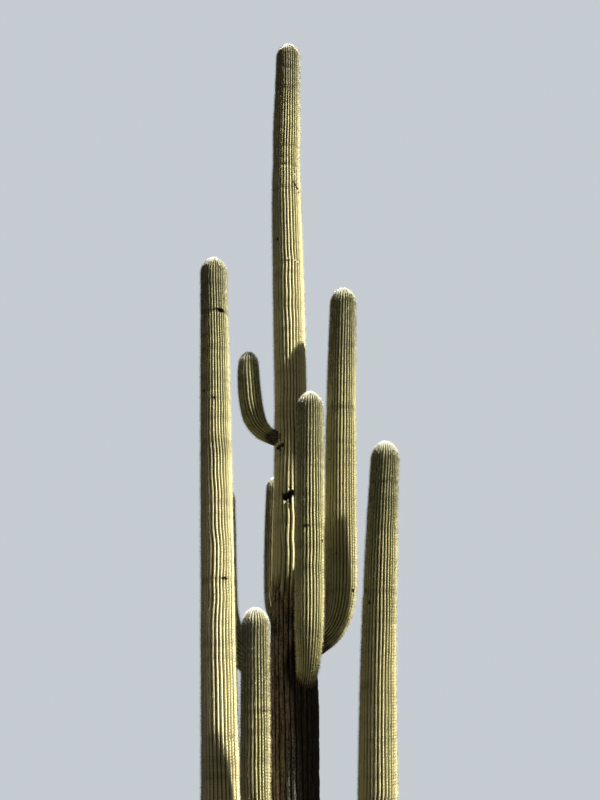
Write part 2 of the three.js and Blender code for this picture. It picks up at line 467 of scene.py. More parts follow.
class NodeSheet:
    """The nodes of a material or a world, with short calls for those that are used here."""

    def __init__(self, owner: bpy.types.Material | bpy.types.World) -> None:
        """Opens the owner's nodes.

        Args:
            owner: The material or the world.
        """
        owner.use_nodes = True
        self.owner = owner
        self.tree = owner.node_tree
        self.source = self.add("ShaderNodeTexCoord")

    def shade(self, **values: object) -> None:
        """Fills the shader's sockets, named with a low line for each space.

        Args:
            **values: A socket, a number or a colour for each input.
        """
        for name, value in values.items():
            self.feed(self.tree.nodes["Principled BSDF"].inputs[name.replace("_", " ")], value)

    def add(self, kind: str, **settings: object) -> bpy.types.Node:
        """Adds a node and sets its own options.

        Args:
            kind: The node's type.
            **settings: Its options by name.

        Returns:
            The node.
        """
        node = self.tree.nodes.new(kind)
        for name, value in settings.items():
            setattr(node, name, value)
        return node

    def feed(self, socket: bpy.types.NodeSocket, value: object) -> None:
        """Links a socket to another one, or sets it to a number or colour.

        Args:
            socket: The input to fill.
            value: An output socket, a number, a vector or a colour.
        """
        if isinstance(value, bpy.types.NodeSocket):
            self.tree.links.new(value, socket)
        elif isinstance(value, tuple) and socket.type == "RGBA":
            socket.default_value = (*value, 1.0)
        else:
            socket.default_value = value

    def mark(self, name: str) -> bpy.types.NodeSocket:
        """The value that the mesh holds under this name."""
        return self.add("ShaderNodeAttribute", attribute_name=name).outputs["Fac"]

    def stretched(self, scale: Point) -> bpy.types.NodeSocket:
        """The object's coordinates, each times its own scale.

        Args:
            scale: The factors along X, Y and Z.

        Returns:
            The output socket.
        """
        node = self.add("ShaderNodeMapping")
        self.feed(node.inputs["Vector"], self.source.outputs["Object"])
        self.feed(node.inputs["Scale"], scale)
        return node.outputs["Vector"]

    def noise(self, scale: Point, detail: float = 2.0, roughness: float = 0.5) -> bpy.types.NodeSocket:
        """Noise over the object's coordinates.

        Args:
            scale: Cells a metre along X, Y and Z.
            detail: How many finer layers are added.
            roughness: How strong the finer layers are.

        Returns:
            The noise, from 0 to 1 with its mean near 0.5.
        """
        node = self.add("ShaderNodeTexNoise")
        self.feed(node.inputs["Vector"], self.stretched(scale))
        self.feed(node.inputs["Scale"], 1.0)
        self.feed(node.inputs["Detail"], detail)
        self.feed(node.inputs["Roughness"], roughness)
        return node.outputs["Fac"]

    def ramp(self, value: object, low: float, high: float, top: float = 1.0) -> bpy.types.NodeSocket:
        """Rises smoothly from 0 at low to top at high, or falls where high is below low.

        Args:
            value: The socket to read.
            low: Where the rise starts.
            high: Where it ends.
            top: The value at high.

        Returns:
            The output socket.
        """
        node = self.add("ShaderNodeMapRange", interpolation_type="SMOOTHSTEP")
        self.feed(node.inputs["Value"], value)
        falling = high < low
        self.feed(node.inputs["From Min"], high if falling else low)
        self.feed(node.inputs["From Max"], low if falling else high)
        self.feed(node.inputs["To Min"], top if falling else 0.0)
        self.feed(node.inputs["To Max"], 0.0 if falling else top)
        return node.outputs["Result"]

    def sum(self, operation: str, first: object, second: object = 0.0) -> bpy.types.NodeSocket:
        """One sum of two numbers.

        Args:
            operation: The sum's name in Blender, such as MULTIPLY or MAXIMUM.
            first: A socket or a number.
            second: Another one, where the sum has two.

        Returns:
            The output socket.
        """
        node = self.add("ShaderNodeMath", operation=operation)
        self.feed(node.inputs[0], first)
        self.feed(node.inputs[1], second)
        return node.outputs[0]

    def blend(self, share: object, first: object, second: object) -> bpy.types.NodeSocket:
        """Goes from one colour to another.

        Args:
            share: How much of the second colour shows, from 0 to 1.
            first: A socket or a colour.
            second: Another one.

        Returns:
            The output socket.
        """
        node = self.add("ShaderNodeMix", data_type="RGBA")
        self.feed(node.inputs[0], share)
        self.feed(node.inputs[6], first)
        self.feed(node.inputs[7], second)
        return node.outputs[2]

    def layered(self, base: object, *layers: tuple[object, object]) -> bpy.types.NodeSocket:
        """Lays colours over a base.

        Args:
            base: The lowest colour.
            *layers: Pairs of a share, from 0 to 1, and the colour that covers what lies below.

        Returns:
            The output socket.
        """
        for share, colour in layers:
            base = self.blend(share, base, colour)
        return base

    def areole_dots(self, radius: float, edge: float) -> bpy.types.NodeSocket:
        """Spots on the crests where the areoles sit, read from the map.

        Formula: 1 where the distance from (0.5, whole number) on the map is under radius - edge,
        falling to 0 at radius.

        Args:
            radius: The spots' outer radius, in shares of the step from areole to areole.
            edge: How soft their edge is, in the same measure.

        Returns:
            The output socket, from 0 to 1.
        """
        parts = self.add("ShaderNodeSeparateXYZ")
        self.feed(parts.inputs[0], self.source.outputs["UV"])
        sideways = self.sum("SUBTRACT", parts.outputs["X"], 0.5)
        lengthways = self.sum("PINGPONG", parts.outputs["Y"], 0.5)
        squares = self.sum("MULTIPLY", sideways, sideways)
        squares = self.sum("ADD", squares, self.sum("MULTIPLY", lengthways, lengthways))
        return self.ramp(self.sum("SQRT", squares), radius, radius - edge)

    def bump(self, height: object, distance: float, strength: float) -> None:
        """Roughens the surface by a height.

        Args:
            height: The height, from 0 to 1.
            distance: What a height of 1 stands for, in metres.
            strength: How much of it shows.
        """
        node = self.add("ShaderNodeBump")
        self.feed(node.inputs["Height"], height)
        self.feed(node.inputs["Distance"], distance)
        self.feed(node.inputs["Strength"], strength)
        self.shade(Normal=node.outputs["Normal"])


class SkinSheet(NodeSheet):
    """The nodes of a skin, with the patterns that its colour and its relief share."""

    def __init__(self, name: str) -> None:
        """Starts the material.

        Args:
            name: The material's name.
        """
        super().__init__(bpy.data.materials.new(name))
        self.crest = self.mark("crest")
        self.grain = self.noise((210.0, 210.0, 140.0), detail=3.0, roughness=0.65)
        self.streak = self.noise((70.0, 70.0, 5.0), detail=3.0)
        self.dots = self.areole_dots(0.18, 0.10)


@dataclass(frozen=True)
class SkinFinish:
    """Waxy ribbed skin, greyer towards the tip, that turns to cork where it is old. Its grooves, its
    holes and its areoles' pads are painted dark, partly their own colour and partly painted shade.

    The mesh says where: crest is 0 in the grooves and 1 on the crests, tip rises to 1 at the
    dome and pale to 1 where the skin is old and bleached, scar, weal, cork, soot, ash,
    crack and pause are 1 where those lie, and plate is a random number for each plate of the cork.
    The black of soot is partly the cork's own charred colour and partly painted shade.
    """

    name: str
    # The grooves' dark colour is partly the skin's own darker tone and partly painted shade; it also
    # darkens the streaks and bands.
    groove_and_shade: Colour = (0.040, 0.040, 0.010)
    olive: Colour = (0.210, 0.208, 0.070)
    straw: Colour = (0.335, 0.315, 0.118)
    crest: Colour = (0.580, 0.550, 0.300)
    cream: Colour = (0.680, 0.630, 0.380)
    tip_grey: Colour = (0.160, 0.164, 0.096)
    # The areoles' pads are painted darker: partly their own colour, partly their painted shadow.
    felt_and_shadow: Colour = (0.300, 0.255, 0.165)
    weal: Colour = (0.560, 0.520, 0.360)
    # Holes are painted near black: partly dark scar tissue, partly painted shade inside them.
    scar: Colour = (0.010, 0.007, 0.005)
    scar_rim: Colour = (0.110, 0.075, 0.040)
    bark_dark: Colour = (0.004, 0.003, 0.002)
    bark_brown: Colour = (0.305, 0.232, 0.155)
    bark_tan: Colour = (0.420, 0.335, 0.235)
    # The black on the trunk's cork is partly its own charred colour and partly painted shade.
    bark_black_and_shade: Colour = (0.006, 0.005, 0.004)
    bark_ash: Colour = (0.140, 0.134, 0.122)
    smoothest: float = 0.56
    roughness_spread: float = 0.16
    cork_roughness: float = 0.9
    sheen: float = 0.2
    grain_relief: float = 0.35
    areole_relief: float = 0.9
    flake_relief: float = 2.2
    relief_height: float = 0.004
    relief_strength: float = 0.6

    def material(self) -> bpy.types.Material:
        """Builds the material.

        Returns:
            The finished material.
        """
        sheet = SkinSheet(self.name)
        cork = sheet.mark("cork")
        spread = sheet.ramp(sheet.streak, 0.3, 0.7, top=self.roughness_spread)
        rough = sheet.sum("ADD", spread, self.smoothest)
        sheet.shade(
            Base_Color=sheet.blend(cork, self.skin_colour(sheet), self.bark_colour(sheet)),
            Roughness=sheet.sum("MAXIMUM", rough, sheet.sum("MULTIPLY", cork, self.cork_roughness)),
            Specular_IOR_Level=self.sheen,
        )
        relief = sheet.sum("MULTIPLY", sheet.grain, self.grain_relief)
        relief = sheet.sum("ADD", relief, sheet.sum("MULTIPLY", sheet.dots, self.areole_relief))
        flakes = sheet.noise((90.0, 90.0, 45.0), detail=4.0, roughness=0.7)
        flakes = sheet.sum("MULTIPLY", sheet.sum("MULTIPLY", cork, flakes), self.flake_relief)
        sheet.bump(sheet.sum("ADD", relief, flakes), self.relief_height, self.relief_strength)
        return sheet.owner

    def skin_colour(self, sheet: SkinSheet) -> bpy.types.NodeSocket:
        """Colours the living skin from the dark grooves, partly painted shade, out to the crests, with
        its scars.

        Args:
            sheet: The material's nodes.

        Returns:
            The colour.
        """
        crest, grain, scar = sheet.crest, sheet.grain, sheet.mark("scar")
        blotch = sheet.noise((2.6, 2.6, 0.9), detail=4.0, roughness=0.6)
        girdle = sheet.noise((0.7, 0.7, 5.5), detail=3.0, roughness=0.6)
        flank = sheet.layered(
            self.olive,
            (sheet.ramp(blotch, 0.38, 0.64), self.straw),
            (sheet.ramp(sheet.streak, 0.35, 0.75, top=0.45), self.groove_and_shade),
        )
        speckled = sheet.sum("MULTIPLY", sheet.ramp(crest, 0.66, 0.97), sheet.ramp(grain, 0.18, 0.62))
        bleached = sheet.sum("MULTIPLY", sheet.mark("pale"), sheet.ramp(crest, 0.10, 0.75, top=0.8))
        # The grooves are painted dark, partly their own tone and partly painted shade, rising to the
        # flank's colour towards the crests.
        return sheet.layered(
            self.groove_and_shade,
            (sheet.ramp(crest, 0.24, 0.88), flank),
            (speckled, self.crest),
            (bleached, self.cream),
            # The areoles' pads: their own colour, darkened as their painted shadow.
            (sheet.dots, self.felt_and_shadow),
            (sheet.sum("MULTIPLY", sheet.mark("tip"), sheet.ramp(grain, 0.15, 0.75)), self.tip_grey),
            (sheet.ramp(girdle, 0.52, 0.70, top=0.28), self.groove_and_shade),
            (sheet.sum("MULTIPLY", sheet.mark("pause"), 0.40), self.groove_and_shade),
            (sheet.sum("MULTIPLY", sheet.mark("weal"), grain), self.weal),
            # The scars: a brown rim, and near black inside, partly scar tissue and partly painted shade
            # in the holes.
            (sheet.ramp(scar, 0.05, 0.35), self.scar_rim),
            (sheet.ramp(scar, 0.35, 0.75), self.scar),
        )

    def bark_colour(self, sheet: SkinSheet) -> bpy.types.NodeSocket:
        """Colours the cork: brown plates on the ribs, black fissures across them and painted shade in
        the cork's grooves, black on the right, partly charred and partly painted shade, and ash.

        Args:
            sheet: The material's nodes.

        Returns:
            The colour.
        """
        crest = sheet.crest
        fibres = sheet.noise((60.0, 60.0, 3.0), detail=4.0, roughness=0.7)
        flecks = sheet.noise((80.0, 80.0, 40.0), detail=3.0, roughness=0.75)
        tanned = sheet.ramp(sheet.mark("plate"), 0.1, 1.0, top=0.5)
        plates = sheet.blend(tanned, self.bark_brown, self.bark_tan)
        ashen = sheet.blend(sheet.ramp(flecks, 0.54, 0.47), self.bark_dark, self.bark_ash)
        # Black on the right: partly the cork's own charred colour, partly painted shade.
        soot_and_shade_colour = sheet.blend(sheet.ramp(fibres, 0.56, 0.72, top=0.35), self.bark_black_and_shade, self.bark_brown)
        broken = sheet.ramp(fibres, 0.60, 0.45, top=0.85)
        # Black fissures across the plates, and painted shade in the cork's grooves.
        cracks_and_groove_shade = sheet.sum("MULTIPLY", sheet.ramp(crest, 0.95, 0.985), broken)
        cracks_and_groove_shade = sheet.sum("MAXIMUM", cracks_and_groove_shade, sheet.ramp(crest, 0.60, 0.26))
        cracks_and_groove_shade = sheet.sum("MAXIMUM", cracks_and_groove_shade, sheet.sum("MULTIPLY", sheet.mark("crack"), 0.4))
        return sheet.layered(
            self.bark_dark,
            (sheet.ramp(fibres, 0.36, 0.56), plates),
            (sheet.ramp(flecks, 0.52, 0.60, top=0.8), self.bark_dark),
            (sheet.mark("ash"), ashen),
            (sheet.mark("soot"), soot_and_shade_colour),
            (cracks_and_groove_shade, self.bark_dark),
        )


@dataclass(frozen=True)
class SpineFinish:
    """A dry spine in one plain colour."""

    name: str
    colour: Colour
    roughness: float = 0.55

    def material(self) -> bpy.types.Material:
        """Builds the material.

        Returns:
            The finished material.
        """
        sheet = NodeSheet(bpy.data.materials.new(self.name))
        sheet.shade(Base_Color=self.colour, Roughness=self.roughness)
        return sheet.owner


class SpineKind(Enum):
    """The three kinds of spines, by how far below the tip they grew."""

    CROWN = "crown_spines"
    YOUNG = "young_spines"
    OLD = "old_spines"


@dataclass(frozen=True)
class SpineHabit:
    """How the spines of one kind grow.

    Lean is the most that a spine tilts from the way straight out of the skin, in degrees.
    """

    step: float
    count: int
    shortest: float
    longest: float
    width: float
    lean: float
    upward: float
    finishes: tuple[SpineFinish, ...]


STRAW = SpineFinish("spine_straw", (0.560, 0.510, 0.330))
PALE = SpineFinish("spine_pale", (0.560, 0.530, 0.400))
GREY = SpineFinish("spine_grey", (0.220, 0.205, 0.155))
BROWN = SpineFinish("spine_brown", (0.110, 0.080, 0.050))
WHITE = SpineFinish("spine_white", (0.950, 0.960, 0.960))
CREAM = SpineFinish("spine_cream", (0.800, 0.780, 0.700))

HABITS = {
    SpineKind.CROWN: SpineHabit(
        step=0.016, count=7, shortest=0.020, longest=0.030, width=0.0013, lean=13.0, upward=0.0,
        finishes=(WHITE, WHITE, WHITE, CREAM),
    ),
    SpineKind.YOUNG: SpineHabit(
        step=0.032, count=8, shortest=0.018, longest=0.036, width=0.0014, lean=65.0, upward=0.1,
        finishes=(GREY, PALE, GREY, BROWN),
    ),
    SpineKind.OLD: SpineHabit(
        step=0.033, count=5, shortest=0.018, longest=0.038, width=0.0017, lean=42.0, upward=0.0,
        finishes=(STRAW, PALE, STRAW, GREY),
    ),
}


class Wardrobe:
    """All the materials, each made once."""

    def __init__(self) -> None:
        """Builds the two skins and the spines' colours."""
        self.trunk_skin = SkinFinish("trunk_skin").material()
        self.arm_skin = SkinFinish("arm_skin").material()
        colours = {finish for habit in HABITS.values() for finish in habit.finishes}
        self.spines = {f.name: f.material() for f in sorted(colours, key=lambda one: one.name)}

    def spine_set(self, habit: SpineHabit) -> list[bpy.types.Material]:
        """The materials of one kind of spines, in the order of its finishes."""
        return [self.spines[finish.name] for finish in habit.finishes]


# Stems


@dataclass(frozen=True)
class Band:
    """A ring where growth paused: the stem is pulled in by a share of its radius."""

    height: float
    depth: float
    width: float = 0.03


@dataclass(frozen=True)
class Scar:
    """A hole or slit in the skin, with its bearing in degrees and its half sizes in metres."""

    height: float
    bearing: float
    tall: float
    wide: float
    depth: float = 0.03
    slant: float = 0.0


@dataclass(frozen=True)
class Join:
    """A rib that starts at a height, or ends there, between its neighbours."""

    rib: int
    height: float
    starts: bool = True


@dataclass
class Line:
    """A stem's centre line as closely spaced points, with the frame across it and its radius."""

    run: Array
    points: Array
    across: Array
    tangents: Array
    radii: Array
    crown: float

    def read(self, run: Array, values: Array) -> Array:
        """Looks values up along the line.

        Args:
            run: Places along the line.
            values: One value, or one vector, for each of the line's points.

        Returns:
            The values at those places.
        """
        if values.ndim == 1:
            return np.interp(run, self.run, values)
        return np.stack([np.interp(run, self.run, part) for part in values.T], axis=-1)

    def at_height(self, height: float) -> float:
        """The place along the line where it has climbed to a height."""
        return float(np.interp(height, self.points[:, 2], self.run))


@dataclass
class Course:
    """The rows of a skin: where they lie, their frames and their radii."""

    run: Array
    centres: Array
    across: Array
    along: Array
    radii: Array
    fullness: Array
    to_tip: Array

    @classmethod
    def along_line(cls, line: Line, body: Array) -> "Course":
        """Lays the rows of a stem: those of its body, and a dome above them.

        Formula: at the angle a a dome's row lies (1 - sin a) · stretch · radius below the tip and
        has the radius times cos a, for angles from 0 to just short of a right angle.

        Args:
            line: The stem's centre line.
            body: The places of the body's rows, up to the foot of the dome.

        Returns:
            The rows.
        """
        end = line.run[-1]
        angles = np.linspace(0.0, np.pi / 2, DOME_ROWS, endpoint=False)[1:]
        dome = end - line.crown * DOME_STRETCH * (1.0 - np.sin(angles))
        run = np.concatenate([body, dome])
        fullness = np.concatenate([np.ones(len(body)), np.cos(angles)])
        across = unit(line.read(run, line.across))
        tangents = unit(line.read(run, line.tangents))
        return cls(
            run=run,
            centres=line.read(run, line.points),
            across=across,
            along=np.cross(tangents, across),
            radii=line.read(run, line.radii) * fullness,
            fullness=fullness,
            to_tip=end - run,
        )


@dataclass
class Stem:
    """A ribbed stem, dressed in a skin with growth bands and scars, and in spines."""

    name: str
    ribs: int
    seed: int
    bands: Sequence[Band] = ()
    scars: Sequence[Scar] = ()
    joins: Sequence[Join] = ()
    pallor: float = 0.2
    folds: float = 0.0
    turn: float = 0.0

    def line(self) -> Line:
        """The stem's centre line."""
        raise NotImplementedError

    def cork(self, course: Course, places: Array) -> Array:
        """How corky the skin is at each point, from 0 to 1."""
        raise NotImplementedError

    def soot(self, course: Course, bearings: Array) -> Array:
        """How black the cork is at each point, from 0 to 1: its own charred colour, and on the trunk
        partly painted shade.
        """
        return np.full_like(bearings, 0.6)

    def ash(self, course: Course, bearings: Array) -> Array:
        """How ashen the cork is at each point, from 0 to 1."""
        return np.zeros_like(bearings)

    def pauses(self, line: Line) -> list[Band]:
        """Adds faint seeded growth bands to those that are told.

        Args:
            line: The stem's centre line.

        Returns:
            All the bands.
        """
        dice = np.random.default_rng(self.seed)
        heights = []
        height = line.points[0, 2] + FIRST_PAUSE
        while height < line.points[-1, 2] - LAST_PAUSE:
            heights.append(height)
            height += dice.uniform(*PAUSE_GAPS)
        return list(self.bands) + [
            Band(h, dice.uniform(*PAUSE_DEPTHS), dice.uniform(*PAUSE_WIDTHS)) for h in heights
        ]

    def rib_edges(self, course: Course) -> Array:
        """Works out the grooves' angles, row by row.

        Formula: the ribs' widths vary by noise along the stem, a joining rib's width shrinks to
        an eighth at its end, and the grooves lie at the running sum of the widths, scaled to a
        full turn, from the stem's own turn on, with a slow common sway.

        Args:
            course: The stem's rows.

        Returns:
            Angles, one row for each row of the stem, from the first groove round to it again.
        """
        rib = np.arange(self.ribs)
        run = course.run[:, None]
        slow = lattice_noise(points_of(1.7 * rib + self.seed, 0.9 * run, 0.5), self.seed)
        quick = lattice_noise(points_of(2.3 * rib + self.seed, 4.5 * run, 3.5), self.seed + 1)
        widths = 1.0 + WIDTH_DRIFT * slow + WIDTH_RIPPLE * quick
        for join in self.joins:
            place = np.interp(join.height, course.centres[:, 2], course.run)
            side = 1.0 if join.starts else -1.0
            grown = smoothstep(place - side * JOIN_LEAD, place + side * JOIN_REACH, course.run)
            widths[:, join.rib] *= JOIN_WIDTH + (1.0 - JOIN_WIDTH) * grown
        total = np.cumsum(widths, axis=1)
        edges = np.concatenate([np.zeros((len(course.run), 1)), total], axis=1) / total[:, -1:]
        sway = RIB_SWAY * lattice_noise(points_of(0.45 * course.run, 0.5, 0.0), self.seed + 2)
        return 2.0 * np.pi * edges + math.radians(self.turn) + sway[:, None]

    def surface(self, line: Line, course: Course) -> Surface:
        """Works out the skin.

        Formula: the radius is the stem's own times slow noise and the bands' bells, less the rib
        depth times 1 minus the sine of the way across the rib, less the scars' hollows. The ribs
        are deeper by the share folds where the stem starts.

        Args:
            line: The stem's centre line.
            course: Its rows.

        Returns:
            The skin, with its marks.
        """
        columns = self.ribs * POINTS_PER_RIB
        across = (np.arange(columns) % POINTS_PER_RIB) / POINTS_PER_RIB
        rib = np.arange(columns) // POINTS_PER_RIB
        edges = self.rib_edges(course)
        widths = np.diff(edges, axis=1)
        angles = edges[:, rib] + across * widths[:, rib]
        ways = (
            np.cos(angles)[..., None] * course.across[:, None]
            + np.sin(angles)[..., None] * course.along[:, None]
        )
        profile = np.broadcast_to(np.sin(np.pi * across), angles.shape)
        places = course.centres[:, None] + ways * course.radii[:, None, None]
        bearings = np.degrees(np.arctan2(ways[..., 1], ways[..., 0]))
        cork = self.cork(course, places)
        pulled, pause = self.pulled_in(line, course)
        swell = 1.0 + SWELL * lattice_noise(places * SWELL_CELLS, self.seed + 3)
        radius = course.radii[:, None] * swell * (1.0 - pulled[:, None])
        narrow = np.minimum(widths * self.ribs / (2.0 * np.pi), WIDEST_RIB)[:, rib]
        fade = smoothstep(*DOME_RIBS, course.fullness)[:, None]
        folded = 1.0 + self.folds * smoothstep(*FOLDED_FOOT, course.run)[:, None]
        depth = RIB_DEPTH * radius * narrow * fade * folded * (1.0 - CORK_FILLING * cork)
        radius = radius - depth * (1.0 - profile)
        tally = self.areole_tally(course)
        offsets = np.random.default_rng(self.seed + 5).uniform(0.0, 1.0, self.ribs)
        relief, crack, plate = self.bark_relief(places, rib, tally[:, None] + offsets[rib])
        radius = radius + cork * relief
        radius, scar, weal = self.scarred(line, course, angles, radius, depth * (1.0 - profile))
        rings = course.centres[:, None] + ways * radius[..., None]
        by_row = {
            "tip": smoothstep(*GREY_TIP, course.to_tip),
            "pale": self.pallor * smoothstep(*BLEACHING, course.to_tip),
            "pause": pause,
        }
        marks = {name: np.broadcast_to(row[:, None], angles.shape) for name, row in by_row.items()}
        marks |= {"crest": profile, "scar": scar, "weal": weal}
        marks |= {"cork": cork, "crack": crack, "plate": plate}
        # The trunk's black cork is partly its own charred colour and partly painted shade.
        marks |= {"soot": self.soot(course, bearings), "ash": self.ash(course, bearings)}
        return Surface(rings, across, tally, offsets, marks)

    def pulled_in(self, line: Line, course: Course) -> tuple[Array, Array]:
        """Sums up the bands.

        Args:
            line: The stem's centre line.
            course: Its rows.

        Returns:
            The share of the radius that each row loses, and how much of a pause it is.
        """
        pulled = np.zeros_like(course.run)
        pause = np.zeros_like(course.run)
        for band in self.pauses(line):
            near = bell(course.run - line.at_height(band.height), band.width)
            pulled += band.depth * near
            pause = np.maximum(pause, near * min(1.0, abs(band.depth) / FULL_PAUSE))
        return pulled * smoothstep(*DOME_BANDS, course.fullness), pause

    def bark_relief(self, places: Array, rib: Array, tally: Array) -> tuple[Array, Array, Array]:
        """Works out how cork stands out of the skin, broken into plates along each rib.

        Formula: a rib's plates are the whole numbers of 0.36 times the areole count plus noise.
        Each stands out by its own random height, and where the count is within 0.1 of a whole
        number a crack runs across, deep for two plates out of three, with fine noise on top.

        Args:
            places: The points of the plain skin.
            rib: The number of the rib that each column is on.
            tally: The count of areoles at each point.

        Returns:
            The relief in metres, how much of a crack each point is, and its plate's number, from
            0 to 1.
        """
        ragged = PLATE_RAGGEDNESS * lattice_noise(places * PLATE_CELLS, self.seed + 6)
        course = PLATES_PER_AREOLE * tally + ragged
        number = hashed(points_of(rib, np.floor(course), 0), self.seed + 7)
        nearest = np.round(course)
        deep = hashed(points_of(rib, nearest, 1), self.seed)
        crack = smoothstep(*CRACK_EDGE, np.abs(course - nearest)) * smoothstep(*DEEP_CRACKS, deep)
        fine = lattice_noise(places * BARK_GRAIN_CELLS, self.seed + 8)
        relief = PLATE_STEP * (number - 0.5) - CRACK_DEPTH * crack + BARK_GRAIN * fine
        return relief, crack, number

    def scarred(
        self, line: Line, course: Course, angles: Array, radius: Array, hollow: Array
    ) -> tuple[Array, Array, Array]:
        """Sinks the scars into the skin.

        Formula: the distance from the scar's middle is counted in its own half sizes and
        roughened by noise. Under 1 the ribs level out and the skin sinks, and at 1.2 lies a low
        lip. A scar of negative depth is a weal: it stands out and is pale.

        Args:
            line: The stem's centre line.
            course: Its rows.
            angles: The angle of each point round the stem.
            radius: The radius of each point.
            hollow: How far each point lies below the crests.

        Returns:
            The new radii, how much of a scar each point is, and how much of a weal.
        """
        hollows, weals = np.zeros_like(radius), np.zeros_like(radius)
        for number, scar in enumerate(self.scars):
            place = line.at_height(scar.height)
            row = int(np.argmin(np.abs(course.run - place)))
            facing = way_of(scar.bearing)
            middle = math.atan2(facing @ course.along[row], facing @ course.across[row])
            turned = np.angle(np.exp(1j * (angles - middle)))
            sideways = turned * course.radii[row]
            lengthways = (course.run - place)[:, None] - scar.slant * sideways
            rough = points_of(sideways * SCAR_CELLS, lengthways * SCAR_CELLS, number)
            distance = np.hypot(sideways / scar.wide, lengthways / scar.tall)
            distance = distance * (1.0 + SCAR_RAGGEDNESS * lattice_noise(rough, self.seed + 9))
            inside = smoothstep(*SCAR_FLOOR, distance)
            lip = LIP_HEIGHT * abs(scar.depth) * bell(distance - LIP_PLACE, LIP_WIDTH)
            radius = radius + inside * (LEVELLING * hollow - scar.depth) + lip
            mark = smoothstep(*SCAR_STAIN, distance)
            if scar.depth > 0.0:
                hollows = np.maximum(hollows, mark)
            else:
                weals = np.maximum(weals, mark)
        return radius, hollows, weals

    def areole_tally(self, course: Course) -> Array:
        """Counts the areoles along the stem, row by row.

        Formula: the running sum of the distance along the skin, divided by the step from areole
        to areole, which shrinks from the old part to the young one and again on the crown.

        Args:
            course: The stem's rows.

        Returns:
            The count at each row.
        """
        crown, young, old = (HABITS[kind].step for kind in SpineKind)
        younger = smoothstep(YOUNG_REACH + STEP_FADE, YOUNG_REACH - STEP_FADE, course.to_tip)
        crowned = smoothstep(CROWN_REACH + CROWN_FADE, CROWN_REACH, course.to_tip)
        step = old + (young - old) * younger + (crown - young) * crowned
        length = np.hypot(np.diff(course.run), np.diff(course.radii))
        return np.concatenate([[0.0], np.cumsum(length / step[:-1])])

    def plant_spines(self, surface: Surface, course: Course, wardrobe: Wardrobe) -> None:
        """Sets the spines of every kind on the areoles.

        Formula: an areole lies on each rib's crest line at every whole number of the tally. Its
        spines stand in a ring round the way straight out, each at its own seeded lean.

        Args:
            surface: The skin.
            course: Its rows.
            wardrobe: The materials.
        """
        dice = np.random.default_rng(self.seed + 11)
        crests = surface.rings[:, POINTS_PER_RIB // 2::POINTS_PER_RIB]
        numbers = np.arange(int(surface.tally[-1]) + 2)
        wanted = numbers[None, :] - surface.offsets[:, None]
        wanted = wanted + dice.uniform(-AREOLE_JITTER, AREOLE_JITTER, wanted.shape)
        rib, number = np.nonzero((wanted > 0.0) & (wanted < surface.tally[-1] - BARE_TIP))
        place = np.interp(wanted[rib, number], surface.tally, np.arange(len(surface.tally)))
        row = np.minimum(place.astype(int), len(crests) - 2)
        share = (place - row)[:, None]
        spot = crests[row, rib] * (1.0 - share) + crests[row + 1, rib] * share
        upwards = unit(crests[row + 1, rib] - crests[row, rib])
        outwards = spot - (course.centres[row] * (1.0 - share) + course.centres[row + 1] * share)
        outwards = unit(outwards - upwards * np.sum(outwards * upwards, axis=-1, keepdims=True))
        column = rib * POINTS_PER_RIB + POINTS_PER_RIB // 2
        cork, scar = (surface.marks[name][row, column] for name in ("cork", "scar"))
        left = dice.uniform(0.0, 1.0, len(spot)) > CORK_SHEDDING * cork
        kept = left & (scar < BARE_SCAR) & (spot[:, 2] > BARE_FOOT)
        to_tip = course.to_tip[row] + dice.uniform(-ZONE_JITTER, ZONE_JITTER, len(spot))
        fading = to_tip + dice.uniform(-ZONE_FADE, ZONE_FADE, len(spot))
        zones = {
            SpineKind.CROWN: to_tip < CROWN_REACH,
            SpineKind.YOUNG: (to_tip >= CROWN_REACH) & (fading < YOUNG_REACH),
            SpineKind.OLD: (to_tip >= CROWN_REACH) & (fading >= YOUNG_REACH),
        }
        for kind, zone in zones.items():
            chosen = kept & zone
            self.spine_piece(kind, spot[chosen], outwards[chosen], upwards[chosen], dice, wardrobe)

    def spine_piece(
        self,
        kind: SpineKind,
        spots: Array,
        outwards: Array,
        upwards: Array,
        dice: np.random.Generator,
        wardrobe: Wardrobe,
    ) -> None:
        """Makes one kind's spines as one piece.

        Args:
            kind: The kind.
            spots: The areoles.
            outwards: The way straight out of the skin at each.
            upwards: The way up along the crest at each.
            dice: The seeded random numbers.
            wardrobe: The materials.
        """
        if len(spots) == 0:
            return
        habit = HABITS[kind]
        size = (len(spots), habit.count)
        turn = 2.0 * np.pi * (np.arange(habit.count) + dice.uniform(0.0, 1.0, size)) / habit.count
        lean = np.radians(dice.uniform(0.0, habit.lean, size))
        sideways = np.cross(upwards, outwards)
        ring = np.cos(turn)[..., None] * upwards[:, None] + np.sin(turn)[..., None] * sideways[:, None]
        ways = np.cos(lean)[..., None] * outwards[:, None] + np.sin(lean)[..., None] * ring
        ways = unit(ways + habit.upward * upwards[:, None])
        roots = spots[:, None] + SPINE_ROOT * (ring - outwards[:, None])
        lengths = dice.uniform(habit.shortest, habit.longest, size)
        tints = np.repeat(dice.integers(0, len(habit.finishes), len(spots)), habit.count)
        shape = spike_shape(
            roots.reshape(-1, 3),
            ways.reshape(-1, 3),
            lengths.ravel(),
            np.full(lengths.size, habit.width),
            tints,
        )
        shape.piece(f"{self.name}_{kind.value}", "spines", wardrobe.spine_set(habit))


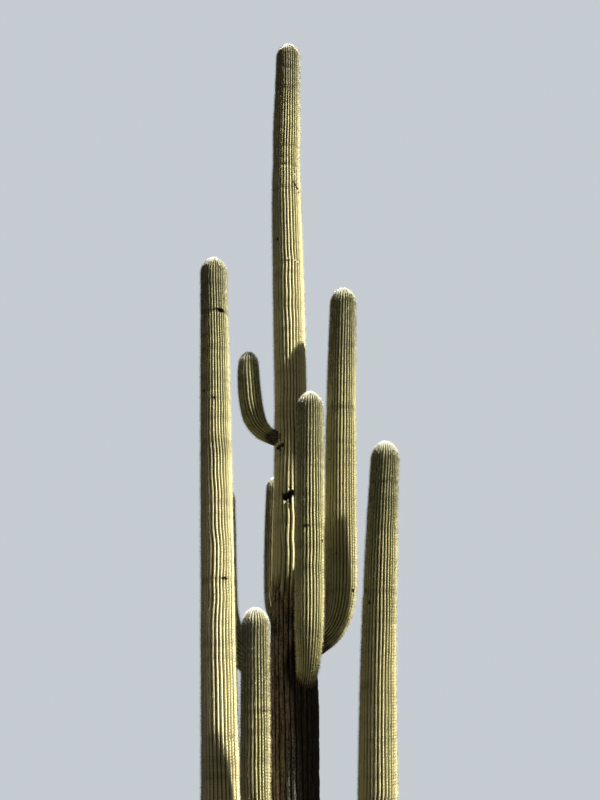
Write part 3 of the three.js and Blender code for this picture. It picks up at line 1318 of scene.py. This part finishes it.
@dataclass
class Trunk(Stem):
    """The trunk: a flared flat cut at the ground, bark below, skin above and a domed tip."""

    height: float = 13.015
    crown: float = 0.170
    seam: float = 5.0
    cork_height: float = 4.98
    cork_fade: tuple[float, float] = (0.28, -0.22)
    cork_cells: Point = (5.0, 5.0, 1.5)
    cork_sway: float = 0.35
    fringe_cells: Point = (24.0, 24.0, 1.8)
    fringe_sway: float = 0.45
    # The black on the right of the cork is partly its own charred colour and partly painted shade; the
    # bulge is painted shadow below the front arm's foot.
    soot_and_shade_bearing: float = -20.0
    soot_and_shade_reach: float = 60.0
    soot_and_shade_widening: float = 14.0
    shadow_bulge: float = 20.0
    shadow_bulge_height: float = 3.95
    shadow_bulge_width: float = 0.22
    soot_and_shade_edge: float = 12.0
    soot_and_shade_strength: float = 0.92
    ash_bearing: float = -92.0
    girths: Sequence[tuple[float, float]] = (
        (0.000, 0.345), (0.160, 0.308), (0.600, 0.292), (2.000, 0.290), (3.500, 0.299),
        (4.800, 0.266), (6.070, 0.226), (7.400, 0.205), (9.000, 0.208), (10.600, 0.195),
        (11.010, 0.182), (11.500, 0.189), (12.200, 0.176), (12.777, 0.170), (13.015, 0.170),
    )
    lean: Sequence[tuple[float, float]] = (
        (0.000, 0.000), (3.200, -0.020), (6.300, -0.052), (9.000, -0.104), (10.800, -0.143),
        (13.015, -0.119),
    )

    def centre(self, height: Array) -> Array:
        """The trunk's axis, a smooth curve through its lean's stations.

        Args:
            height: Heights above the ground.

        Returns:
            One point a row for each height.
        """
        stations, values = np.array(self.lean).T
        sideways = hermite(height, stations, values)
        return np.stack([sideways, np.zeros_like(height), height], axis=-1)

    def radius(self, height: Array) -> Array:
        """The trunk's radius.

        Formula: straight between its girths, and the mean of five places up to 0.1 m away.

        Args:
            height: Heights above the ground.

        Returns:
            The radius at each height.
        """
        stations, values = np.array(self.girths).T
        reach = np.minimum(GIRTH_SMOOTHING, height)
        taps = [np.interp(height + offset * reach, stations, values) for offset in (-1, -0.5, 0, 0.5, 1)]
        return np.mean(taps, axis=0)

    def line(self) -> Line:
        """The trunk's axis, with level rows.

        Returns:
            The line.
        """
        height = np.linspace(0.0, self.height, TRUNK_POINTS)
        level = np.ones((len(height), 1))
        return Line(
            run=height,
            points=self.centre(height),
            across=level * np.array([1.0, 0.0, 0.0]),
            tangents=level * UP,
            radii=self.radius(height),
            crown=self.crown,
        )

    def cork(self, course: Course, places: Array) -> Array:
        """Cork covers the trunk up to a ragged edge.

        Formula: 1 below the cork's height and 0 above it, over 0.5 m, with the edge moved up and
        down by slow noise and by noise drawn out along the ribs.

        Args:
            course: The trunk's rows.
            places: The points of the plain skin.

        Returns:
            How corky each point is, from 0 to 1.
        """
        slow = lattice_noise(places * np.array(self.cork_cells), self.seed + 20)
        drawn = lattice_noise(places * np.array(self.fringe_cells), self.seed + 21)
        edge = self.cork_height + self.cork_sway * slow + self.fringe_sway * drawn
        return smoothstep(*self.cork_fade, places[..., 2] - edge)

    def soot(self, course: Course, bearings: Array) -> Array:
        """Paints the cork black on the right: partly its own charred colour and partly painted shade
        where the arms' shadows fall, and further round below the front arm's foot as painted shadow.

        Formula: the black reaches as far as told to either side of its bearing, further by its
        widening above 3.5 m and by a bell at the bulge. It fades out from 4.3 to 5.2 m.

        Args:
            course: The trunk's rows.
            bearings: The bearing of each point.

        Returns:
            How black each point is, from 0 to 1.
        """
        reach = self.soot_and_shade_reach + self.soot_and_shade_widening * smoothstep(2.9, 3.5, course.run)
        # Painted shadow: the black reaches further round below the front arm's foot, where its elbow's
        # shadow falls.
        reach += self.shadow_bulge * bell(course.run - self.shadow_bulge_height, self.shadow_bulge_width)
        inside = reach[:, None] - np.abs(bearings - self.soot_and_shade_bearing)
        share = np.clip(0.5 + inside / self.soot_and_shade_edge, 0.0, 1.0)
        return self.soot_and_shade_strength * share * smoothstep(5.2, 4.3, course.run)[:, None]

    def ash(self, course: Course, bearings: Array) -> Array:
        """A strip beside the black is grey and flecked, near the ground."""
        strip = smoothstep(17.0, 10.0, np.abs(bearings - self.ash_bearing))
        return strip * smoothstep(3.30, 2.95, course.run)[:, None]

    def dress(self, wardrobe: Wardrobe) -> None:
        """Builds the bark, the skin and the spines.

        Args:
            wardrobe: The materials.
        """
        line = self.line()
        foot = self.height - self.crown * DOME_STRETCH
        fine = [line.at_height(scar.height) for scar in self.scars]
        low = row_places(0.0, self.seam, BARK_STEP, ())
        high = row_places(self.seam, foot, SKIN_STEP, fine)
        course = Course.along_line(line, np.concatenate([low, high[1:]]))
        surface = self.surface(line, course)
        seam = len(low) - 1
        middle = course.centres[seam]
        bark = surface.cut(slice(0, seam + 1)).shape(course.centres[0], middle, pointed=False)
        skin = surface.cut(slice(seam, None)).shape(middle, line.points[-1], pointed=True)
        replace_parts(bark.piece("trunk_bark", "trunk_skin", [wardrobe.trunk_skin]), "trunk")
        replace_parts(skin.piece("trunk_skin", "trunk_skin", [wardrobe.trunk_skin]), "trunk")
        self.plant_spines(surface, course, wardrobe)


@dataclass
class Arm(Stem):
    """An arm: out of the trunk at a corky neck, round its elbow and up as a column."""

    root: Point = (0.0, 0.0, 0.0)
    reach: float = 0.8
    bow: float = 0.0
    neck: float = 0.1
    foot: float = 0.2
    girth: float = 0.2
    crown: float = 0.15
    base: Point = (0.0, 0.0, 0.0)
    tip: Point = (0.0, 0.0, 0.0)
    folds: float = 0.8
    trunk: Trunk | None = None

    def line(self) -> Line:
        """Lays the arm's centre line from just inside the trunk to the tip.

        Formula: the elbow is a cubic Bezier curve, level at the root and in line with the column
        at its end, and the column is a quadratic one, with a shallow bow. The radius grows from
        the neck to the foot as 3t² - 2t³ and runs straight between the column's girths.

        Returns:
            The line.
        """
        base, tip = np.array(self.base), np.array(self.tip)
        sideways, back, height = self.root
        root = self.trunk.centre(np.array([height]))[0] + np.array([sideways, back, 0.0])
        middle = (base + tip) / 2.0 + np.array([2.0 * self.bow, 0.0, 0.0])
        out = (base - root) * np.array([1.0, 1.0, 0.0])
        rising = unit(middle - base) * ELBOW_STIFFNESS * (base[2] - root[2])
        share = np.linspace(0.0, 1.0, CURVE_POINTS)
        elbow = bezier(np.stack([root, root + out * self.reach, base - rising, base]), share)
        column = bezier(np.stack([base, middle, tip]), share)[1:]
        points = np.concatenate([elbow, column])
        dome = 1.0 - self.crown * DOME_STRETCH / float(np.linalg.norm(tip - base))
        stations = [0.0, min(GIRTH_PLACE, dome - 0.02), min(TAPER_PLACE, dome - 0.01), dome]
        taper = self.girth + TAPER_SHARE * (self.crown - self.girth)
        girths = [self.foot, self.girth, taper, self.crown]
        radii = np.concatenate([
            self.neck + (self.foot - self.neck) * smoothstep(NECK_SHARE, 1.0, share),
            np.interp(share[1:], stations, girths),
        ])
        tangents = unit(np.gradient(points, axis=0))
        side = np.cross(unit(out), UP)
        across = unit(side - tangents * (tangents @ side)[:, None])
        run = np.concatenate([[0.0], np.cumsum(np.linalg.norm(np.diff(points, axis=0), axis=1))])
        return Line(run, points, across, tangents, self.with_collar(run, points, radii), self.crown)

    def leaves_trunk(self, points: Array, margin: float = 0.0) -> int:
        """The number of the first point that lies outside the trunk's skin by over the margin."""
        away = (points - self.trunk.centre(points[:, 2])) * np.array([1.0, 1.0, 0.0])
        return int(np.argmax(np.linalg.norm(away, axis=1) - self.trunk.radius(points[:, 2]) > margin))

    def with_collar(self, run: Array, points: Array, radii: Array) -> Array:
        """The radii, with the neck widened by a bell where it leaves the trunk."""
        away = run - run[self.leaves_trunk(points)]
        return radii + COLLAR_HEIGHT * bell(np.maximum(away, 0.0), COLLAR_REACH)

    def cork(self, course: Course, places: Array) -> Array:
        """Cork covers the neck, up to a ragged edge.

        Args:
            course: The arm's rows.
            places: The points of the plain skin.

        Returns:
            How corky each point is, from 0 to 1.
        """
        away = course.run - course.run[self.leaves_trunk(course.centres)]
        drawn = lattice_noise(places * NECK_CORK_CELLS, self.seed + 20)
        return smoothstep(*NECK_CORK, away[:, None] + NECK_RAGGEDNESS * drawn)

    def dress(self, wardrobe: Wardrobe) -> None:
        """Builds the skin and the spines.

        Args:
            wardrobe: The materials.
        """
        line = self.line()
        start = line.run[self.leaves_trunk(line.points, -HIDDEN_NECK)]
        foot = line.run[-1] - self.crown * DOME_STRETCH
        fine = [line.at_height(scar.height) for scar in self.scars]
        course = Course.along_line(line, row_places(start, foot, SKIN_STEP, fine))
        surface = self.surface(line, course)
        skin = surface.shape(course.centres[0], line.points[-1], pointed=True)
        made = skin.piece(f"{self.name}_skin", "arm_skin", [wardrobe.arm_skin])
        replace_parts(made, f"{self.name}_elbow", f"{self.name}_column")
        self.plant_spines(surface, course, wardrobe)


def make_trunk() -> Trunk:
    """The trunk with its bands and scars as they show.

    Returns:
        The trunk.
    """
    return Trunk(
        name="trunk",
        ribs=30,
        seed=101,
        bands=(
            Band(12.54, 0.020), Band(12.19, 0.024), Band(11.21, 0.020), Band(10.52, 0.026, 0.022),
            Band(10.89, 0.022), Band(9.36, 0.016), Band(8.76, 0.012), Band(8.34, 0.014),
            Band(6.10, 0.020, 0.08),
        ),
        scars=(
            Scar(6.715, -137, 0.028, 0.034, 0.032),
            Scar(6.730, -124, 0.026, 0.030, 0.032),
            Scar(6.675, -131, 0.026, 0.018, 0.022),
            Scar(6.036, -112, 0.050, 0.040, 0.045),
            Scar(6.050, -98, 0.072, 0.038, 0.060),
            Scar(6.088, -89, 0.036, 0.022, 0.030),
            Scar(9.71, -135, 0.022, 0.022, 0.022),
            Scar(4.88, -136, 0.035, 0.028, 0.030),
            Scar(10.54, -42, 0.020, 0.050, 0.028, slant=-0.9),
            Scar(10.60, -62, 0.016, 0.022, -0.006),
            Scar(10.73, -52, 0.020, 0.012, -0.006),
            Scar(10.89, -99, 0.012, 0.020, 0.018),
            Scar(9.38, -90, 0.020, 0.035, -0.008, slant=0.4),
            Scar(9.36, -57, 0.016, 0.055, -0.008, slant=-0.3),
            Scar(8.68, -122, 0.110, 0.012, -0.005),
            Scar(8.45, -113, 0.050, 0.012, -0.005),
            Scar(8.22, -124, 0.090, 0.010, -0.005),
        ),
        joins=(Join(21, 5.45), Join(20, 5.95, starts=False), Join(4, 7.2), Join(13, 6.4), Join(8, 9.0)),
        pallor=0.75,
        turn=-4.0,
    )


def make_arms(trunk: Trunk) -> list[Arm]:
    """The nine arms with their bands and scars as they show.

    Args:
        trunk: The trunk that they grow from.

    Returns:
        The arms.
    """
    return [
        Arm(
            name="left_tall", ribs=30, seed=211, root=(0.000, 0.000, 1.740), reach=0.8, bow=0.000,
            neck=0.136, foot=0.214, girth=0.201, crown=0.169,
            base=(-0.826, -0.400, 2.356), tip=(-1.092, -0.400, 9.260), trunk=trunk,
            bands=(
                Band(8.43, 0.050, 0.030), Band(8.83, 0.020, 0.05), Band(7.91, 0.024, 0.04),
                Band(7.36, 0.020), Band(6.94, 0.016), Band(4.93, 0.014),
            ),
            scars=(
                Scar(8.44, -58, 0.024, 0.055, 0.050, slant=-0.12), Scar(8.45, -84, 0.008, 0.040, 0.020),
                Scar(7.22, -89, 0.014, 0.014, 0.015), Scar(4.93, -63, 0.014, 0.040, 0.012),
                Scar(8.62, -35, 0.014, 0.012, 0.012), Scar(7.34, -136, 0.020, 0.016, 0.014),
            ),
            joins=(Join(6, 4.4), Join(17, 5.3), Join(24, 6.5)),
            pallor=1.0,
        ),
        Arm(
            name="upper_left", ribs=20, seed=223, root=(0.000, -0.100, 6.848), reach=0.64, bow=-0.022,
            neck=0.094, foot=0.145, girth=0.146, crown=0.127,
            base=(-0.575, 0.060, 7.324), tip=(-0.623, 0.060, 8.107), trunk=trunk,
        ),
        Arm(
            name="right", ribs=30, seed=227, root=(0.000, 0.000, 4.235), reach=0.92, bow=-0.018,
            neck=0.148, foot=0.192, girth=0.191, crown=0.167,
            base=(0.551, -0.076, 5.156), tip=(0.623, -0.320, 8.853), trunk=trunk,
            bands=(Band(7.18, 0.034, 0.04), Band(6.73, 0.018), Band(8.03, 0.014)),
            scars=(
                Scar(4.89, -37, 0.018, 0.014, 0.013), Scar(5.33, -109, 0.016, 0.012, 0.012),
                Scar(6.51, -145, 0.018, 0.016, 0.015),
            ),
            joins=(Join(5, 6.9), Join(22, 6.0)),
            pallor=0.5,
        ),
        Arm(
            name="front", ribs=27, seed=229, root=(0.122, 0.000, 3.800), reach=0.85, bow=0.004,
            neck=0.120, foot=0.167, girth=0.174, crown=0.157,
            base=(0.159, -0.520, 4.515), tip=(0.179, -0.520, 7.300), trunk=trunk,
            pallor=0.0,
            bands=(Band(5.54, 0.026, 0.025), Band(5.04, 0.018), Band(6.41, 0.014)),
            scars=(
                Scar(5.54, -108, 0.010, 0.050, 0.016), Scar(5.37, -35, 0.014, 0.016, 0.014),
                Scar(4.26, -54, 0.010, 0.010, 0.010),
            ),
        ),
        Arm(
            name="right_low", ribs=32, seed=233, root=(0.000, 0.000, 1.960), reach=0.8, bow=-0.030,
            neck=0.140, foot=0.221, girth=0.205, crown=0.167,
            base=(0.925, -0.250, 2.589), tip=(1.097, -0.645, 6.598), trunk=trunk,
            bands=(Band(4.78, 0.026, 0.04), Band(4.44, 0.018), Band(5.50, 0.014), Band(6.08, 0.014)),
            scars=(
                Scar(4.65, -130, 0.020, 0.016, 0.015), Scar(4.41, -172, 0.024, 0.020, 0.018),
                Scar(6.08, -97, 0.010, 0.024, 0.014), Scar(4.80, -160, 0.014, 0.020, 0.014),
            ),
            joins=(Join(9, 5.0), Join(26, 4.4)),
            pallor=0.7,
        ),
        Arm(
            name="front_left_low", ribs=25, seed=239, root=(0.000, 0.000, 2.080), reach=0.8, bow=0.000,
            neck=0.115, foot=0.162, girth=0.162, crown=0.152,
            base=(-0.440, -0.770, 2.595), tip=(-0.450, -1.000, 4.480), trunk=trunk,
            bands=(Band(3.37, 0.022), Band(3.14, 0.016, 0.05)),
            scars=(Scar(3.37, -45, 0.008, 0.030, 0.012),),
            pallor=1.0,
        ),
        Arm(
            name="back_left", ribs=22, seed=241, root=(0.000, 0.000, 4.520), reach=0.85, bow=-0.008,
            neck=0.090, foot=0.110, girth=0.112, crown=0.100,
            base=(-0.288, 0.500, 5.060), tip=(-0.276, 0.500, 6.514), trunk=trunk,
        ),
        Arm(
            name="back_left_low", ribs=26, seed=251, root=(0.000, 0.000, 3.925), reach=0.6, bow=0.000,
            neck=0.158, foot=0.178, girth=0.168, crown=0.154,
            base=(-0.912, 0.400, 4.900), tip=(-0.950, 0.400, 6.380), trunk=trunk,
        ),
        Arm(
            name="back_right", ribs=28, seed=257, root=(0.000, 0.000, 4.800), reach=0.8, bow=0.000,
            neck=0.112, foot=0.161, girth=0.171, crown=0.159,
            base=(0.440, 0.950, 5.350), tip=(0.461, 0.950, 6.439), trunk=trunk,
        ),
    ]


@dataclass
class Studio:
    """A plain pale floor, a broad sun from the right, soft light all round, and the camera."""

    sun_way: Point = (0.570, -0.185, 0.801)
    sun_power: float = 21.0
    sun_colour: Colour = (1.0, 0.955, 0.85)
    sun_spread: float = 1.5
    fill_colour: Colour = (1.0, 0.965, 0.86)
    fill_power: float = 0.19
    fill_level: float = 0.75
    fill_lean: Point = (0.48, -0.04, 0.26)
    backdrop_colour: Colour = (0.560, 0.600, 0.640)
    floor_radius: float = 40.0
    floor_corners: int = 96
    floor_colour: Colour = (0.125, 0.125, 0.122)
    eye: Point = (0.05, -14.4, 1.6)
    pitch: float = 22.0
    lens: float = 54.0
    sensor: float = 36.0

    def build(self) -> None:
        """Sets up the whole studio."""
        self.add_floor()
        self.add_lights()
        self.add_camera()

    def add_floor(self) -> None:
        """Lays a round floor at ground level, which throws no light back up on the plant."""
        turn = np.linspace(0.0, 2.0 * np.pi, self.floor_corners + 1)[:-1]
        rim = self.floor_radius * np.stack([np.cos(turn), np.sin(turn), 0.0 * turn], axis=-1)
        mesh = bpy.data.meshes.new("floor")
        mesh.from_pydata(rim.tolist(), [], [list(range(len(rim)))])
        sheet = NodeSheet(bpy.data.materials.new("floor"))
        sheet.shade(Base_Color=self.floor_colour, Roughness=0.9)
        mesh.materials.append(sheet.owner)
        floor = bpy.data.objects.new("floor", mesh)
        bpy.context.scene.collection.objects.link(floor)
        floor.visible_diffuse = False

    def add_lights(self) -> None:
        """Adds the sun and the even light of the sky."""
        lamp = bpy.data.lights.new("sun", "SUN")
        lamp.energy = self.sun_power
        lamp.color = self.sun_colour
        lamp.angle = math.radians(self.sun_spread)
        sun = bpy.data.objects.new("sun", lamp)
        sun.rotation_euler = Vector(self.sun_way).to_track_quat("Z", "Y").to_euler()
        bpy.context.scene.collection.objects.link(sun)
        bpy.context.scene.world = self.make_world()
        bpy.context.scene.view_settings.view_transform = "Standard"

    def make_world(self) -> bpy.types.World:
        """Makes the fill light, stronger from above and from the sun's side, and the backdrop.

        Formula: the fill's strength is its power times the sum of its level and the dot product
        of the way with the lean.

        Returns:
            The world.
        """
        sheet = NodeSheet(bpy.data.worlds.new("studio"))
        lean = sheet.add("ShaderNodeVectorMath", operation="DOT_PRODUCT")
        sheet.feed(lean.inputs[0], sheet.source.outputs["Generated"])
        sheet.feed(lean.inputs[1], self.fill_lean)
        leaning = sheet.sum("MULTIPLY", lean.outputs["Value"], self.fill_power)
        fill = sheet.tree.nodes["Background"]
        sheet.feed(fill.inputs["Color"], self.fill_colour)
        sheet.feed(fill.inputs["Strength"], sheet.sum("ADD", leaning, self.fill_level * self.fill_power))
        backdrop = sheet.add("ShaderNodeBackground")
        sheet.feed(backdrop.inputs["Color"], self.backdrop_colour)
        seen = sheet.add("ShaderNodeLightPath")
        either = sheet.add("ShaderNodeMixShader")
        sheet.feed(either.inputs[0], seen.outputs["Is Camera Ray"])
        sheet.feed(either.inputs[1], fill.outputs[0])
        sheet.feed(either.inputs[2], backdrop.outputs[0])
        sheet.feed(sheet.tree.nodes["World Output"].inputs["Surface"], either.outputs[0])
        return sheet.owner

    def add_camera(self) -> None:
        """Adds the camera at eye height, tilted up."""
        lens = bpy.data.cameras.new("camera")
        lens.lens = self.lens
        lens.sensor_width = self.sensor
        camera = bpy.data.objects.new("camera", lens)
        camera.location = self.eye
        camera.rotation_euler = (math.radians(90.0 + self.pitch), 0.0, 0.0)
        bpy.context.scene.collection.objects.link(camera)
        bpy.context.scene.camera = camera


def main() -> None:
    """Dresses the trunk and the arms and sets up the studio."""
    logging.basicConfig(level=logging.INFO, format="%(message)s")
    wardrobe = Wardrobe()
    trunk = make_trunk()
    trunk.dress(wardrobe)
    for arm in make_arms(trunk):
        arm.dress(wardrobe)
    Studio().build()


if __name__ == "__main__":
    main()
